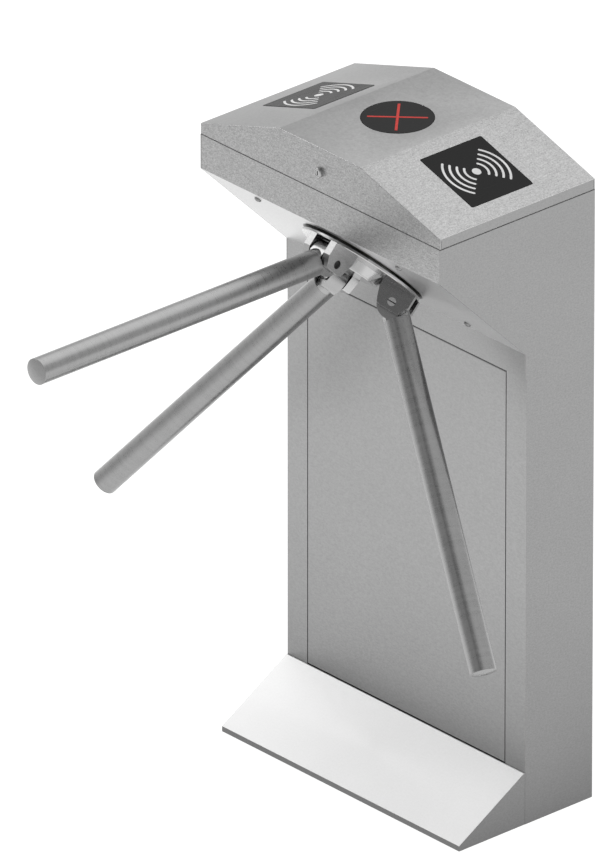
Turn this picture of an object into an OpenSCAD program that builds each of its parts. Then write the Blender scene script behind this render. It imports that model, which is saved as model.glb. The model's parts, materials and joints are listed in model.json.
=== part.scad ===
// Tripod turnstile: a floor-standing cabinet with a hinged lid and a slanted rotor with three arms.
// X runs along the walking direction, -Y faces the passage and +Z is up.
// The origin is the centre of the footprint, on the floor.

/* [Cabinet] */
// Width along the walking direction
cabinet_w = 480; // [440:1:520]
// Height to the flat of the roof
cabinet_h = 980; // [960:1:1020]
// Depth of the head and the lid
head_d = 280; // [270:1:290]
// Depth of the narrow body below the head
body_d = 125; // [120:1:135]
// Depth of the footprint, body and foot together
base_d = 243; // [230:1:260]
// Thickness of the folded sheet
sheet_t = 2; // [1.5:0.1:2.5]
// Height of the roof's flat above the seam between the cabinet and the lid
lid_rise = 66; // [60:1:75]
// Height of the head's front face below the lid seam
head_face_h = 51; // [44:1:58]
// Height of the fascia between the underside and the front panel
fascia_h = 38; // [30:1:50]
// Width of the inward folds along the cabinet's edges
flange_w = 18; // [14:1:24]
// Width of the fixed front margin beside the front panel
stile_w = 40; // [34:1:50]
// Gap round the front panel
panel_gap = 1.5; // [1:0.1:2.5]
// Depth of the front panel's folded edges
panel_fold = 14; // [10:1:16]

/* [Foot] */
// Height of the foot cover where it meets the body
foot_h = 78; // [70:1:90]
// Height of the foot cover's front lip
foot_lip_h = 8; // [6:0.5:12]
// Depth of the fold that closes the foot cover against the body
foot_fold_h = 34; // [25:1:45]
// Thickness of the floor plate
floor_t = 8; // [6:0.5:10]
// Distance of the anchor holes from the side walls
anchor_from_side = 40; // [34:1:60]
// Distance between anchor holes across the passage
anchor_y = 150; // [140:1:170]
// Diameter of an anchor hole, for M12
anchor_d = 14; // [12:0.5:16]
// Diameter of the clear hole for the supply cables
cable_d = 28; // [20:1:32]
// Distance of the cable hole in front of the back wall
cable_from_back = 61.5; // [55:0.5:70]

/* [Lid] */
// Width of the flat on top of the roof
roof_flat_w = 162; // [140:1:180]
// Height of the lid's upright skirt
skirt_h = 16; // [12:1:20]
// Gap at the lid seam
seam_gap = 0.4; // [0.3:0.1:1]
// Rounding along the edges of the lid's gables
gable_edge = 1.4; // [0.6:0.1:2.5]
// Width of the open corner slit between gable and skirt
corner_slit = 0.7; // [0.4:0.1:1.2]
// Width of the foam seal
seal_w = 6; // [4:0.5:7]
// Height of the foam seal
seal_h = 7; // [5:0.5:10]

/* [Reader windows] */
// Distance of a reader window from the edge of the roof flat
window_flat_margin = 25.4; // [22:0.1:34]
// Distance of a reader window from the eave
window_eave_margin = 31.3; // [28:0.1:40]
// Corner radius of a reader window
window_corner = 3; // [1:0.5:8]
// Thickness of the windows
window_t = 3; // [2.5:0.1:4]
// How far the windows stand above the sheet
window_proud = 0.4; // [0.2:0.1:1]
// Gap round the windows
window_gap = 0.5; // [0.3:0.1:1]
// Extra width of the reader module on each side of its window
module_rim = 6; // [4:0.5:10]
// Depth of the reader module under the sheet
module_h = 16; // [12:1:20]

/* [Indicator] */
// Diameter of the round indicator window
indicator_d = 100; // [80:1:110]
// Length of each bar of the cross
cross_l = 82; // [60:1:90]
// Width of each bar of the cross
cross_w = 3.8; // [3:0.1:6]
// Depth of the indicator housing under the roof
indicator_h = 16; // [12:1:24]

/* [Lid lock] */
// Height of the lock above the lid seam
lock_rise = 29.5; // [27:0.5:34]
// Diameter of the lock barrel
barrel_d = 14; // [12:0.5:16]
// How far the lock stands out of the lid
barrel_proud = 5; // [3:0.5:7]
// Diameter of the turning key plug
plug_d = 9; // [8:0.5:10]
// Width of the key slot
key_slot_w = 1.8; // [1.2:0.1:2.4]
// Length of the key slot
key_slot_l = 6.4; // [5:0.1:7]
// Length of the lock cam from its axis
cam_l = 28; // [26:0.5:29]
// Width of the lock cam
cam_w = 12; // [10:0.5:12]
// Thickness of the lock cam
cam_t = 3; // [2:0.5:4]

/* [Rotor] */
// Diameter of the hub's disc
hub_d = 184; // [176:1:186]
// Gap between the underside and the hub's disc
hub_gap = 3.5; // [2.5:0.5:3.5]
// Thickness of the hub's disc
hub_t = 4; // [3:0.5:4]
// Diameter of the hub's neck in the underside's opening
neck_d = 120; // [100:1:130]
// Gap between the neck and the underside's opening
neck_gap = 3; // [2:0.5:5]
// Rounding of the disc's rim
hub_rim = 1; // [0.5:0.1:1.5]
// Height of the central boss above the underside
boss_h = 20; // [16:1:24]
// Radius of the boss at the disc
boss_base_r = 41; // [38:1:42]
// Radius of the boss at its top
boss_top_r = 34; // [30:1:36]
// Distance of the arm pivots from the rotor axis
pin_radius = 68; // [66:0.5:70]
// Height of the arm pivots above the underside
pin_height = 30; // [28:0.5:34]
// Diameter of an arm pivot pin
pin_d = 12; // [10:0.5:14]
// Thickness of one ear of a clevis
ear_t = 11.5; // [11:0.1:14]
// Height of an ear above its pin
ear_above_pin = 11.5; // [10:0.5:11.5]
// Distance of a clevis's outer end from the rotor axis
clevis_reach = 92; // [91:0.5:94]
// Distance of a clevis's inner end from the rotor axis
clevis_in = 41.5; // [41.5:0.5:44]

/* [Arms] */
// Diameter of an arm tube
arm_d = 37; // [34:0.5:42]
// Wall of an arm tube
arm_wall = 1.5; // [1.2:0.1:2.5]
// Reach of an arm from its pivot to its tip
arm_reach = 521; // [450:1:540]
// Distance from the pivot to the start of the tube
root_l = 20.5; // [20.5:0.5:28]
// Radius of an arm root's knuckle round its pin
root_r = 22; // [20:0.5:22]
// Width of the root between its milled flats
root_w = 24; // [22:0.5:26]
// Gap between the root and an ear
root_gap = 1.8; // [1:0.1:2]
// Thickness of the end cap's plate
cap_t = 3; // [3:0.5:5]
// Depth of the hollow in the end cap's face
cap_dish = 1.6; // [0.5:0.1:2]

/* [Mechanism] */
// Width of the front plate
plate_w = 324; // [320:1:340]
// Height of the front plate along the underside
plate_h = 200; // [196:1:202]
// Thickness of the front and the rear plate
plate_t = 8; // [7:0.5:9]
// Distance between the underside sheet and the front plate
plate_stand = 14; // [12:0.5:16]
// Distance between the screws along the walking direction
screw_x = 282; // [278:1:298]
// Distance between the screws along the underside
screw_y = 176; // [160:1:178]
// Clear distance between the two plates
plate_space = 50; // [50:0.5:54]
// Width of the rear plate
rear_w = 230; // [226:1:234]
// Height of the rear plate
rear_h = 150; // [146:1:160]
// Diameter of the rotor shaft
shaft_d = 30; // [28:0.5:32]
// Outer diameter of a shaft bearing
bearing_d = 62; // [58:0.5:64]
// Diameter of the locking disc
lock_disc_d = 120; // [118:0.5:121]
// Notches in the locking disc
notches = 12; // [12:12:12]
// Teeth of the main gear
gear_teeth = 44; // [44:1:44]
// Teeth of the damper pinion
pinion_teeth = 16; // [16:1:16]
// Gear module
tooth_module = 2.5; // [2.5:0.1:2.6]
// Angle through which a pawl swings
pawl_swing = 12; // [11:0.5:12]

/* [Hidden] */
$fn = 48;

// Overrun of every cut
over = 0.5;
// Radial clearance of a running fit
fit = 0.05;
// Clearance between pieces that only lie together
loose = 0.3;
// Sides of a hexagon
hex_sides = 6;
// Slant of the underside
underside_angle = 45;
// Where the first arm stands off the middle, and the directions of all three round the rotor axis
first_turn = 0.6;
arm_turns = [for (turn = [0, -120, 120]) first_turn + turn];

// Cabinet planes
seam_z = cabinet_h - lid_rise;
head_front_z = seam_z - head_face_h;
half_w = cabinet_w / 2;
inner_x = half_w - sheet_t;
wall_mid_x = half_w - sheet_t / 2;
back_y = base_d / 2;
back_in_y = back_y - sheet_t;
head_front_y = back_y - head_d;
front_in_y = head_front_y + sheet_t;
body_front_y = back_y - body_d;
stile_y = body_front_y + sheet_t;
base_front_y = back_y - base_d;
mid_y = (back_y + head_front_y) / 2;
slope_low_z = head_front_z - (head_d - body_d) * tan(underside_angle);
fascia_z = slope_low_z - fascia_h;
fold_offset = sheet_t * tan(underside_angle / 2);
stile_in_x = half_w - stile_w;
panel_half = stile_in_x - panel_gap;
panel_top_z = fascia_z - panel_gap;
panel_low_z = foot_h + panel_gap;
// Depth of the cowl's top fold, which carries the lock strike
cowl_fold = 24;
// Screws that hold the front panel from inside
panel_screw_d = 6;
panel_screw_head_d = 11;
panel_screw_head_h = 4;
panel_screw_tail = 3;
panel_screw_from_end = 60;
panel_screw_y = stile_y + (sheet_t + panel_fold) / 2;
panel_screw_zs = [panel_low_z + panel_screw_from_end, panel_top_z - panel_screw_from_end];

// Foot
anchor_x = cabinet_w - 2 * anchor_from_side;
foot_rise = foot_h - foot_lip_h;
foot_angle = atan(foot_rise / (body_front_y - base_front_y));
foot_drop = sheet_t / cos(foot_angle);
foot_lip_in_z = foot_lip_h + sheet_t * tan(foot_angle) - foot_drop;
floor_front_y = base_front_y + sheet_t + loose
    + max(0, (floor_t - foot_lip_in_z) / tan(foot_angle));
cable_y = back_y - cable_from_back;
bush_wall = 4;
bush_rim = 5;
bush_rim_h = 3;
bush_r = cable_d / 2 + bush_wall;

// Lid
lid_z = seam_z + seam_gap;
eave_z = seam_z + skirt_h;
flat_half = roof_flat_w / 2;
roof_angle = atan((cabinet_h - eave_z) / (half_w - flat_half));
// Corners of the gable's rounding, as shares of it: how far in and how far back each one stands
edge_shares = [[0, 1], [0.3, 0.3], [1, 0]];
barrel_hinge_r = 3.2;
hinge_pin_r = 1.5;
hinge_leaf_t = 1.2;
hinge_leaf_h = 22;
hinge_from_side = 40;
hinge_l = cabinet_w - 2 * hinge_from_side;
knuckles = 8;
knuckle_gap = 0.6;
hinge_y = back_y + barrel_hinge_r;
hinge_z = seam_z + seam_gap / 2;
slope_l = norm([half_w - flat_half, cabinet_h - eave_z]);
window_w = slope_l - window_flat_margin - window_eave_margin;
window_from_flat = window_flat_margin + window_w / 2;
window_r = indicator_d / 2;
module_w = window_w + 2 * module_rim;
pocket_h = window_t - window_proud - sheet_t;
connector = [24, 14, 8];
housing_rim = 7;
cross_depth = 1.2;
cross_proud = 0.15;

// Lid lock, measured inwards from the lid's front face
lock_z = seam_z + lock_rise;
barrel_depth = 14.6;
lock_nut_r = 11;
lock_nut_h = 4;
key_slot_depth = 3;
plug_set_in = 0.4;
barrel_bevel = 0.8;
cam_depth = barrel_depth + loose;
tang_r = 3.5;
cam_nut_r = 5.5;
cam_nut_h = 2.5;
strike_t = 3;
strike_d = 8;
strike_gap = 0.5;
strike_side_gap = 8;
strike_end_gap = 2;
strike_foot = 16;
strike_y = head_front_y + cam_depth + cam_t / 2;

// Rotor, measured outwards from the underside
rotor_y = (head_front_y + body_front_y) / 2;
rotor_z = (head_front_z + slope_low_z) / 2;
slope_half = (head_d - body_d) / 2 / cos(underside_angle);
hub_r = hub_d / 2;
hub_face = hub_gap + hub_t;
hub_back = -6;
neck_r = neck_d / 2;
spigot_r = 13;
hub_cap_r = 29;
hub_cap_t = 3;
hub_cap_dome = 1.2;
nut_r = 24;
nut_room_r = 26;
nut_h = 8;
nut_seat = boss_h - hub_cap_t - nut_h - loose;
clevis_half = root_w / 2 + root_gap + ear_t;
slot_half = root_w / 2 + root_gap;
pin_r = pin_d / 2;
// How far a pivot pin stays below the ear's outer face at its socket end and at its slotted end
pin_socket = 6.5;
pin_inset = 0.6;
pin_slot_w = 1.6;
pin_slot_h = 2;
// Outline of an ear round its pin
ear_top = pin_height + ear_above_pin;
ear_foot = hub_face - over;
ear_nose_h = 26.5;
ear_nose_in = 8;
ear_heel = [[50.2, 40], [47, 33], [41.5, 17.5]];

// Arms, measured along the arm from its pivot
arm_r = arm_d / 2;
tube_l = arm_reach - root_l - cap_t;
spigot_l = 45;
cap_spigot_l = 18;
cap_bevel = 0.8;
arm_slant = 45.4;

// Mechanism, measured inwards from the underside
front_plate_z = -sheet_t - plate_stand - plate_t;
rear_plate_z = front_plate_z - plate_space;
plate_corner = 10;
shaft_r = shaft_d / 2;
bearing_r = bearing_d / 2;
housing_flange_h = 8;
housing_flange_r = 46;
housing_wall = 7;
housing_lip_h = 2;
housing_lip = 4;
bearing_groove = 0.8;
race_share = 0.3;
screw_head_r = 5.2;
screw_head_h = 3.3;
screw_r = 3;
screw_socket_r = 2.3;
screw_socket_h = 2;
// Profile of a screw's domed head, in shares of its radius and height
dome_shares = [[1, 0], [1, 0.2], [0.92, 0.55], [0.76, 0.83], [0.5, 1]];
spacer_r = 9.5;
pillar_r = 7;
pillar_x = 100;
pillar_y = 66;

// Locking disc and its pawls
lock_disc_r = lock_disc_d / 2;
lock_disc_t = 10;
lock_disc_from_plate = 16;
lock_disc_z = front_plate_z - lock_disc_from_plate - lock_disc_t;
lock_disc_boss_r = 24;
lock_disc_boss = 4;
notch_w = 13;
notch_depth = 9;
pawl_x = 70;
pawl_y = 48;
pawl_t = 8;
pawl_z = lock_disc_z + (lock_disc_t - pawl_t) / 2;
pawl_boss_r = 9;
pawl_pin_r = 4;
pawl_collar_r = 7;
pawl_nose_w = 8;
pawl_nose_bite = 7.5;
pawl_bar_in = 6;
pawl_bar_out = 4;
pawl_tail_l = 58;
pawl_tail_half = 5;
pawl_end_r = 8;
link_pin_r = 2.5;
link_slot_gap = 0.4;
link_slot_run = 1.6;

// Solenoids and their plungers
plunger_x = pawl_x + pawl_tail_l;
plunger_z = pawl_z + pawl_t / 2;
plunger_r = 6;
plunger_low = -26;
plunger_neck = 36;
fork_base = 38.5;
fork_top = 54;
fork_half = 9;
fork_gap = 0.6;
solenoid_low = -62;
solenoid_high = -6;
solenoid_half = 18;
solenoid_end_t = 3;
coil_r = 15.5;
coil_floor = 4;
solenoid_foot = 4;

// Gear, damper and encoder
gear_t = 10;
gear_from_plate = 8;
gear_z = rear_plate_z - plate_t - gear_from_plate - gear_t;
gear_boss_r = 22;
gear_boss = 4;
gear_hole_r = 9;
gear_hole_at = 36;
gear_holes = 6;
pressure_angle = 20;
tooth_gap = 0.25;
addendum_share = 0.92;
dedendum_share = 1.25;
flank_steps = 3;
gear_pitch_r = gear_teeth * tooth_module / 2;
pinion_pitch_r = pinion_teeth * tooth_module / 2;
damper_distance = gear_pitch_r + pinion_pitch_r;
damper_turn = 210;
damper_r = 24;
damper_flange_r = 26;
damper_flange_h = 4;
damper_h = 19;
damper_shaft_r = 5;
damper_shaft_room = 7;
damper_floor = 3;
damper_shaft_tail = 2;
encoder_r = 40;
encoder_t = 1.5;
encoder_boss_r = 19;
encoder_boss_l = 12;
encoder_boss_back = 4;
encoder_slots = 12;
encoder_slot_w = 6;
encoder_slot_l = 7;
encoder_slot_at = 30;
encoder_z = gear_z - encoder_boss_l;
rear_nut_r = 20;
rear_nut_h = 6;
shaft_end_z = encoder_z - rear_nut_h;
bracket_x = 64;
bracket_t = 2;
bracket_half = 12;
bracket_foot = 16;
fork_d = 10;
fork_l = 24;
fork_slot_l = 14;
fork_slot_h = 3.6;
fork_h = 10;
fork_x = 32;
fork_y = 7;

// Electronics on the back wall
tray_half = 170;
tray_h = 260;
tray_below_slope = 18;
tray_high_z = slope_low_z - tray_below_slope;
tray_low_z = tray_high_z - tray_h;
tray_t = 1.5;
tray_fold = 10;
tray_stand = 6;
tray_boss_r = 5;
tray_boss_in = 16;
tray_y = back_in_y - tray_stand - tray_t;
tray_corner = [-tray_half, tray_low_z];
board_place = [20, 40];
board_size = [160, 190];
board_low = tray_corner + board_place;
board_high = board_low + board_size;
board_t = 1.6;
board_stand = 8;
board_boss_r = 3.5;
board_boss_in = 8;
board_y = tray_y - board_stand - board_t;
relay = [15, 12, 18];
relay_step = 22;
relays = 5;
relay_place = [12, 150];
relay_low = board_low + relay_place;
chip = [24, 3, 24];
chip_place = [60, 80];
chip_low = board_low + chip_place;
plug_row = [130, 12, 12];
plug_row_place = [15, 10];
plug_row_low = board_low + plug_row_place;
supply_place = [210, 50];
supply_size = [110, 180];
supply_low = tray_corner + supply_place;
supply_high = supply_low + supply_size;
supply_d = 38;
supply_vent = [70, 3];
supply_vents = 8;
supply_vent_step = 12;
supply_vent_from_low = 60;
supply_vent_depth = 2;

// Solid box between two corners
module block(low, high) {
    translate(low) cube(high - low);
}

// Outline in Y and Z, drawn out along X
module prism_x(points, x0, x1) {
    translate([x0, 0, 0])
        rotate([90, 0, 90])
            linear_extrude(x1 - x0) polygon(points);
}

// Outline in X and Z, drawn out along Y
module prism_y(points, y0, y1) {
    translate([0, y1, 0])
        rotate([90, 0, 0])
            linear_extrude(y1 - y0) polygon(points);
}

module rod(r, z0, z1) {
    translate([0, 0, z0]) cylinder(r = r, h = z1 - z0);
}

module rod_x(r, x0, x1) {
    translate([x0, 0, 0]) rotate([0, 90, 0]) cylinder(r = r, h = x1 - x0);
}

module rod_y(r, y0, y1) {
    translate([0, y0, 0]) rotate([-90, 0, 0]) cylinder(r = r, h = y1 - y0);
}

module ring(r_out, r_in, z0, z1) {
    difference() {
        rod(r_out, z0, z1);
        rod(r_in, z0 - over, z1 + over);
    }
}

module rounded_rect(w, h, r) {
    square([w - 2 * r, h], center = true);
    square([w, h - 2 * r], center = true);
    for (x = [-1, 1])
        for (y = [-1, 1])
            translate([x * (w / 2 - r), y * (h / 2 - r)]) circle(r);
}

module rounded_plate(w, h, r, z0, z1) {
    translate([0, 0, z0]) linear_extrude(z1 - z0) rounded_rect(w, h, r);
}

// Rotor frame: Z points out of the slanted underside along the rotor axis, Y up along it
module in_rotor_frame() {
    translate([0, rotor_y, rotor_z]) rotate([180 - underside_angle, 0, 0]) children();
}

// Arm frame: Z runs along the arm from its pivot and X along the pivot pin
module in_arm_frame(turn) {
    in_rotor_frame()
        rotate([0, 0, -turn])
            translate([0, pin_radius, pin_height])
                rotate([-arm_slant, 0, 0])
                    children();
}

// Lock frame: Z points out of the lid's front face along the lock
module in_lock_frame() {
    translate([0, head_front_y, lock_z]) rotate([90, 0, 0]) children();
}

// Roof frame: X runs down the right slope from the edge of the flat, Z out of the sheet
module on_right_slope() {
    translate([flat_half, mid_y, cabinet_h]) rotate([0, roof_angle, 0]) children();
}

module on_both_slopes() {
    on_right_slope() children();
    mirror([1, 0, 0]) on_right_slope() children();
}

module at_screws() {
    for (x = [-1, 1])
        for (y = [-1, 1])
            translate([x * screw_x / 2, y * screw_y / 2, 0]) children();
}

// Cabinet

side_outline = [
    [back_in_y, 0], [stile_y, 0], [stile_y, fascia_z], [body_front_y, fascia_z],
    [body_front_y, slope_low_z], [head_front_y, head_front_z],
    [head_front_y, seam_z], [back_in_y, seam_z],
];

module panel_screw_holes() {
    for (z = panel_screw_zs)
        translate([0, panel_screw_y, z])
            rod_x(panel_screw_d / 2 + loose, panel_half - flange_w, half_w - flange_w);
}

module side_panel() {
    fold_x = inner_x - flange_w;
    prism_x(side_outline, inner_x, half_w);
    // Front margin
    block([stile_in_x, stile_y, floor_t], [wall_mid_x, stile_y + sheet_t, slope_low_z]);
    difference() {
        block([stile_in_x, stile_y, floor_t], [stile_in_x + sheet_t, stile_y + flange_w, slope_low_z]);
        panel_screw_holes();
    }
    // Fold along the back wall
    block([fold_x, back_in_y - sheet_t, floor_t], [wall_mid_x, back_in_y, seam_z - flange_w]);
    // Fold along the lid seam
    block(
        [fold_x, head_front_y + cowl_fold, seam_z - sheet_t],
        [wall_mid_x, back_in_y - flange_w, seam_z]
    );
    // Fold behind the head's front face
    block(
        [fold_x, front_in_y, head_front_z + flange_w / 2],
        [wall_mid_x, front_in_y + sheet_t, seam_z - flange_w / 2]
    );
    // Fold behind the underside
    in_rotor_frame()
        block(
            [fold_x, flange_w - slope_half, -2 * sheet_t],
            [wall_mid_x, slope_half - flange_w, -sheet_t]
        );
}

module side_panel_right() {
    color("silver") side_panel();
}

module side_panel_left() {
    color("silver") mirror([1, 0, 0]) side_panel();
}

module back_panel() {
    color("silver") {
        block([-half_w, back_in_y, 0], [half_w, back_y, seam_z]);
        block(
            [loose - inner_x, back_in_y - flange_w + loose, seam_z - sheet_t],
            [inner_x - loose, back_in_y + sheet_t / 2, seam_z]
        );
    }
}

cowl_outline = [
    [head_front_y + cowl_fold - loose, seam_z], [head_front_y, seam_z],
    [head_front_y, head_front_z], [body_front_y, slope_low_z], [body_front_y, fascia_z],
    [stile_y, fascia_z], [stile_y, slope_low_z + fold_offset],
    [front_in_y, head_front_z + fold_offset],
    [front_in_y, seam_z - sheet_t], [head_front_y + cowl_fold - loose, seam_z - sheet_t],
];

module front_cowl() {
    color("silver")
    difference() {
        prism_x(cowl_outline, -inner_x, inner_x);
        in_rotor_frame() {
            rod(neck_r + neck_gap, -sheet_t - over, over);
            at_screws() rod(screw_r + loose, -sheet_t - over, over);
        }
    }
}

module front_panel() {
    color("silver")
    difference() {
        block([-panel_half, stile_y, panel_low_z], [panel_half, stile_y + panel_fold, panel_top_z]);
        block(
            [sheet_t - panel_half, stile_y + sheet_t, panel_low_z + sheet_t],
            [panel_half - sheet_t, stile_y + panel_fold + over, panel_top_z - sheet_t]
        );
        panel_screw_holes();
        mirror([1, 0, 0]) panel_screw_holes();
    }
}

module panel_screws() {
    color("dimgray")
    for (side = [0, 1])
        mirror([side, 0, 0])
            for (z = panel_screw_zs)
                translate([0, panel_screw_y, z]) {
                    head_x = panel_half - sheet_t;
                    rod_x(panel_screw_head_d / 2, head_x - panel_screw_head_h, head_x);
                    rod_x(panel_screw_d / 2, head_x - over, stile_in_x + sheet_t + panel_screw_tail);
                }
}

module foot_cover() {
    outline = [
        [base_front_y, 0], [base_front_y, foot_lip_h], [body_front_y, foot_h],
        [stile_y, foot_h], [stile_y, 0],
    ];
    hollow = [
        [base_front_y + sheet_t, -over], [base_front_y + sheet_t, foot_lip_in_z],
        [body_front_y, foot_h - foot_drop], [body_front_y, foot_h - foot_fold_h],
        [stile_y + over, foot_h - foot_fold_h], [stile_y + over, -over],
    ];
    color("gainsboro")
    difference() {
        prism_x(outline, -half_w, half_w);
        prism_x(hollow, -inner_x, inner_x);
    }
}

module floor_plate() {
    color("gray")
    difference() {
        block([-inner_x, floor_front_y, 0], [inner_x, back_in_y, floor_t]);
        for (x = [-1, 1])
            for (y = [-1, 1])
                translate([x * anchor_x / 2, y * anchor_y / 2, 0])
                    rod(anchor_d / 2, -over, floor_t + over);
        translate([0, cable_y, 0]) rod(bush_r + loose, -over, floor_t + over);
    }
}

module cable_bush() {
    color("black")
    translate([0, cable_y, 0])
        difference() {
            union() {
                rod(bush_r, loose, floor_t + over);
                rod(bush_r + bush_rim, floor_t, floor_t + bush_rim_h);
            }
            rod(cable_d / 2, -over, floor_t + bush_rim_h + over);
        }
}

// Hinge: leaves on the outside of the back wall, axis along X at the lid seam

module on_hinge_axis() {
    translate([0, hinge_y, hinge_z]) children();
}

module knuckle_row(first, r, gap) {
    step = hinge_l / knuckles;
    for (i = [first : 2 : knuckles - 1])
        rod_x(r, i * step - hinge_l / 2 + gap / 2, (i + 1) * step - hinge_l / 2 - gap / 2);
}

// The leaf that hangs below the axis; the other leaf is its mirror image
module hinge_leaf(first) {
    difference() {
        union() {
            difference() {
                block(
                    [-hinge_l / 2, -barrel_hinge_r, -hinge_leaf_h],
                    [hinge_l / 2, hinge_leaf_t - barrel_hinge_r, -seam_gap / 2]
                );
                knuckle_row(1 - first, barrel_hinge_r + loose, -knuckle_gap);
            }
            knuckle_row(first, barrel_hinge_r, knuckle_gap);
        }
        rod_x(hinge_pin_r + fit, -hinge_l / 2 - over, hinge_l / 2 + over);
    }
}

module hinge_cabinet_leaf() {
    color("lightgray") on_hinge_axis() hinge_leaf(0);
}

module hinge_lid_leaf() {
    color("lightgray") on_hinge_axis() mirror([0, 0, 1]) hinge_leaf(1);
}

module hinge_pin() {
    color("gray") on_hinge_axis() rod_x(hinge_pin_r, -hinge_l / 2, hinge_l / 2);
}

// Lid

// The lid's cross-section, set in by a distance from every sheet face
function lid_section(inset, low_z) =
    let (
        x = half_w - inset,
        z = eave_z + inset * tan(roof_angle) - inset / cos(roof_angle),
        flat_x = flat_half - inset * tan(roof_angle / 2),
        top = cabinet_h - inset
    )
    [[x, low_z], [x, z], [flat_x, top], [-flat_x, top], [-x, z], [-x, low_z]];

module lid_body() {
    hull()
        for (share = edge_shares) {
            back = gable_edge * share[1];
            prism_y(lid_section(gable_edge * share[0], lid_z), head_front_y + back, back_y - back);
        }
}

module lid_shell() {
    color("silver")
    difference() {
        lid_body();
        prism_y(lid_section(sheet_t, lid_z - over), front_in_y, back_in_y);
        on_both_slopes()
            translate([window_from_flat, 0, 0])
                rounded_plate(
                    window_w + 2 * window_gap, window_w + 2 * window_gap, window_corner,
                    -sheet_t - over, over
                );
        translate([0, mid_y, cabinet_h]) rod(window_r + window_gap, -sheet_t - over, over);
        in_lock_frame() rod(barrel_d / 2 + fit, -sheet_t - over, over);
        for (side = [0, 1])
            mirror([side, 0, 0])
                for (y = [front_in_y, back_in_y - corner_slit])
                    block(
                        [inner_x - over, y, lid_z - over],
                        [half_w + over, y + corner_slit, eave_z - sheet_t]
                    );
    }
}

module lid_seal() {
    low = lid_z + loose;
    color("black")
    difference() {
        block([-inner_x, front_in_y, low], [inner_x, back_in_y, low + seal_h]);
        block(
            [seal_w - inner_x, front_in_y + seal_w, low - over],
            [inner_x - seal_w, back_in_y - seal_w, low + seal_h + over]
        );
    }
}

module reader_windows() {
    color("black")
    on_both_slopes()
        translate([window_from_flat, 0, 0])
            rounded_plate(window_w, window_w, window_corner, window_proud - window_t, window_proud);
}

module reader_modules() {
    color("dimgray")
    on_both_slopes()
        translate([window_from_flat, 0, -sheet_t])
            difference() {
                union() {
                    rounded_plate(module_w, module_w, window_corner, -module_h, 0);
                    translate([-connector.x / 2, -connector.y / 2, -module_h - connector.z])
                        cube([connector.x, connector.y, connector.z + over]);
                }
                rounded_plate(
                    window_w + 2 * window_gap, window_w + 2 * window_gap, window_corner,
                    -pocket_h, over
                );
            }
}

module cross_bars(w, l, z0, z1) {
    for (turn = [-45, 45])
        rotate([0, 0, turn])
            translate([-l / 2, -w / 2, z0])
                cube([l, w, z1 - z0]);
}

module indicator_window() {
    color("black")
    translate([0, mid_y, cabinet_h + window_proud])
        difference() {
            rod(window_r, -window_t, 0);
            cross_bars(cross_w, cross_l, -cross_depth, over);
        }
}

module cross_light() {
    color("red")
    translate([0, mid_y, cabinet_h + window_proud])
        cross_bars(cross_w, cross_l, -cross_depth, cross_proud);
}

module indicator_housing() {
    color("dimgray")
    translate([0, mid_y, cabinet_h - sheet_t])
        difference() {
            union() {
                rod(window_r + housing_rim, -indicator_h, 0);
                translate([-connector.x / 2, -connector.y / 2, -indicator_h - connector.z])
                    cube([connector.x, connector.y, connector.z + over]);
            }
            rod(window_r + window_gap, -pocket_h, over);
        }
}

// Lid lock

module lock_barrel() {
    r = barrel_d / 2;
    color("lightgray")
    in_lock_frame()
        difference() {
            union() {
                rod(r, -barrel_depth, barrel_proud - barrel_bevel);
                translate([0, 0, barrel_proud - barrel_bevel])
                    cylinder(r1 = r, r2 = r - barrel_bevel, h = barrel_bevel);
                rod(lock_nut_r, -sheet_t - lock_nut_h, -sheet_t);
            }
            rod(plug_d / 2 + fit, -barrel_depth - over, barrel_proud + over);
        }
}

module lock_plug() {
    top = barrel_proud - plug_set_in;
    color("gray")
    in_lock_frame()
        difference() {
            union() {
                rod(plug_d / 2, -cam_depth, top);
                rod(tang_r, -cam_depth - cam_t - cam_nut_h, -cam_depth);
            }
            block(
                [-key_slot_w / 2, -key_slot_l / 2, top - key_slot_depth],
                [key_slot_w / 2, key_slot_l / 2, top + over]
            );
        }
}

module lock_cam() {
    low = -cam_depth - cam_t;
    half = cam_w / 2;
    color("gray")
    in_lock_frame() {
        difference() {
            union() {
                rod(half, low, -cam_depth);
                block([-half, half - cam_l, low], [half, 0, -cam_depth]);
                translate([0, half - cam_l, 0]) rod(half, low, -cam_depth);
            }
            rod(tang_r, low - over, over - cam_depth);
        }
        ring(cam_nut_r, tang_r, low - cam_nut_h, low);
    }
}

// A hooked bracket on the cowl's fold; the level cam lies under its finger
module lock_strike() {
    post_x = cam_l + strike_end_gap;
    finger_z = lock_z + cam_w / 2 + strike_gap;
    low_y = strike_y - strike_d / 2;
    high_y = strike_y + strike_d / 2;
    color("lightgray") {
        block([post_x, low_y, seam_z], [post_x + strike_foot, high_y, seam_z + strike_t]);
        block([post_x, low_y, seam_z], [post_x + strike_t, high_y, finger_z + strike_t]);
        block(
            [cam_w / 2 + strike_side_gap, low_y, finger_z],
            [post_x + strike_t, high_y, finger_z + strike_t]
        );
    }
}

// Mechanism frame

module underside_screws() {
    dome = [for (share = dome_shares) [screw_head_r * share[0], screw_head_h * share[1]]];
    color("dimgray")
    in_rotor_frame()
        at_screws()
            difference() {
                union() {
                    rotate_extrude() polygon(concat(dome, [[0, screw_head_h], [0, 0]]));
                    rod(screw_r, front_plate_z, over);
                }
                translate([0, 0, screw_head_h - screw_socket_h])
                    cylinder(r = screw_socket_r, h = screw_socket_h + over, $fn = hex_sides);
            }
}

module spacer_tubes() {
    color("silver")
    in_rotor_frame()
        at_screws()
            ring(spacer_r, screw_r + loose, -sheet_t - plate_stand, -sheet_t);
}

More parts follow.
